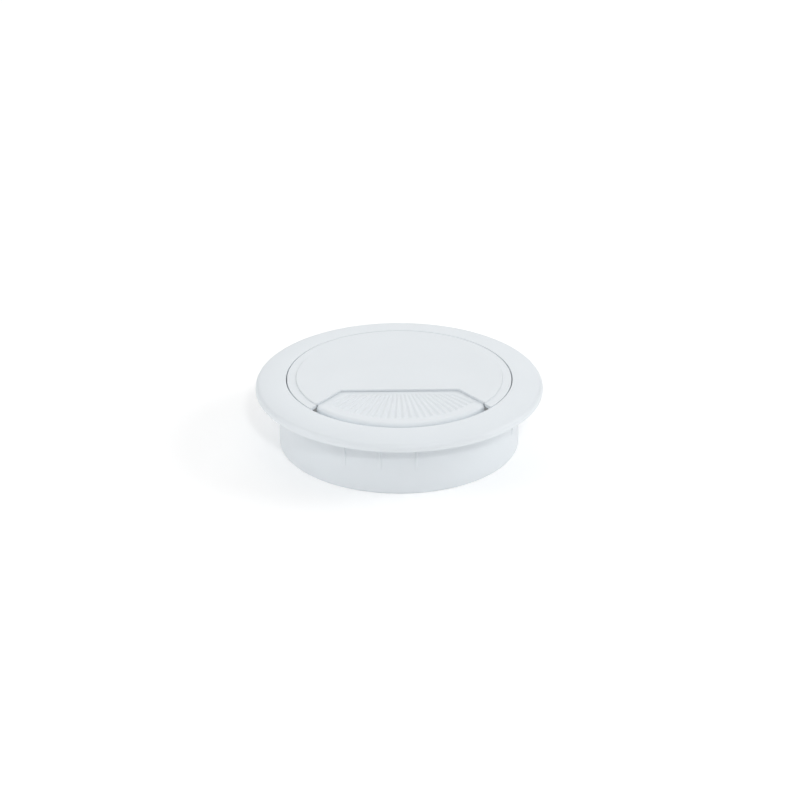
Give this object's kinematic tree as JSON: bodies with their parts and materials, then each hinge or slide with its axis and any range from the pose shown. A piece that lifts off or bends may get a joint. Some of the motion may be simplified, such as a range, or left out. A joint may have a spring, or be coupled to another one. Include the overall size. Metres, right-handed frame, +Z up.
{
  "type": "desk grommet",
  "caption": "Round flanged desk cable grommet with a turning, lift-out lid and a spring-closed sliding shutter with fanned finger ribs.",
  "frame": {"origin": "centre of the sleeve's bottom edge, on the axis of the bore", "axes": "+Z up along the bore, out of the desk top; the cable opening in the lid faces -Y; +X to its right"},
  "size_m": [0.095, 0.095, 0.023],
  "materials": {
    "white_plastic": "fine satin moulded surface, slightly cool white",
    "keeper_plastic": "natural moulded plastic",
    "ring_rubber": "grey elastomer",
    "spring_wire": "drawn spring wire",
    "zinc_steel": "zinc plated"
  },
  "bodies": {
    "sleeve": {"flanged_sleeve": "white_plastic"},
    "ring": {"friction_ring": "ring_rubber"},
    "lid": {"turning_lid": "white_plastic", "shutter_keeper": "keeper_plastic", "left_spring": "spring_wire", "right_spring": "spring_wire", "keeper_screw_1": "zinc_steel", "keeper_screw_2": "zinc_steel", "keeper_screw_3": "zinc_steel", "keeper_screw_4": "zinc_steel"},
    "shutter": {"sliding_shutter": "white_plastic"}
  },
  "joints": [
    {"name": "lid_lift", "type": "slide", "parent": "sleeve", "child": "ring", "axis": [0, 0, 1], "range_m": [0, 0.02]},
    {"name": "lid_turn", "type": "hinge", "parent": "ring", "child": "lid", "pos_m": [0, 0, 0.0168], "axis": [0, 0, 1], "continuous": true},
    {"name": "shutter_slide", "type": "slide", "parent": "lid", "child": "shutter", "axis": [0, 1, 0], "range_m": [0, 0.016], "stiffness_N_per_m": 80, "springref_m": -0.01, "deforming": ["left_spring", "right_spring"]}
  ]
}
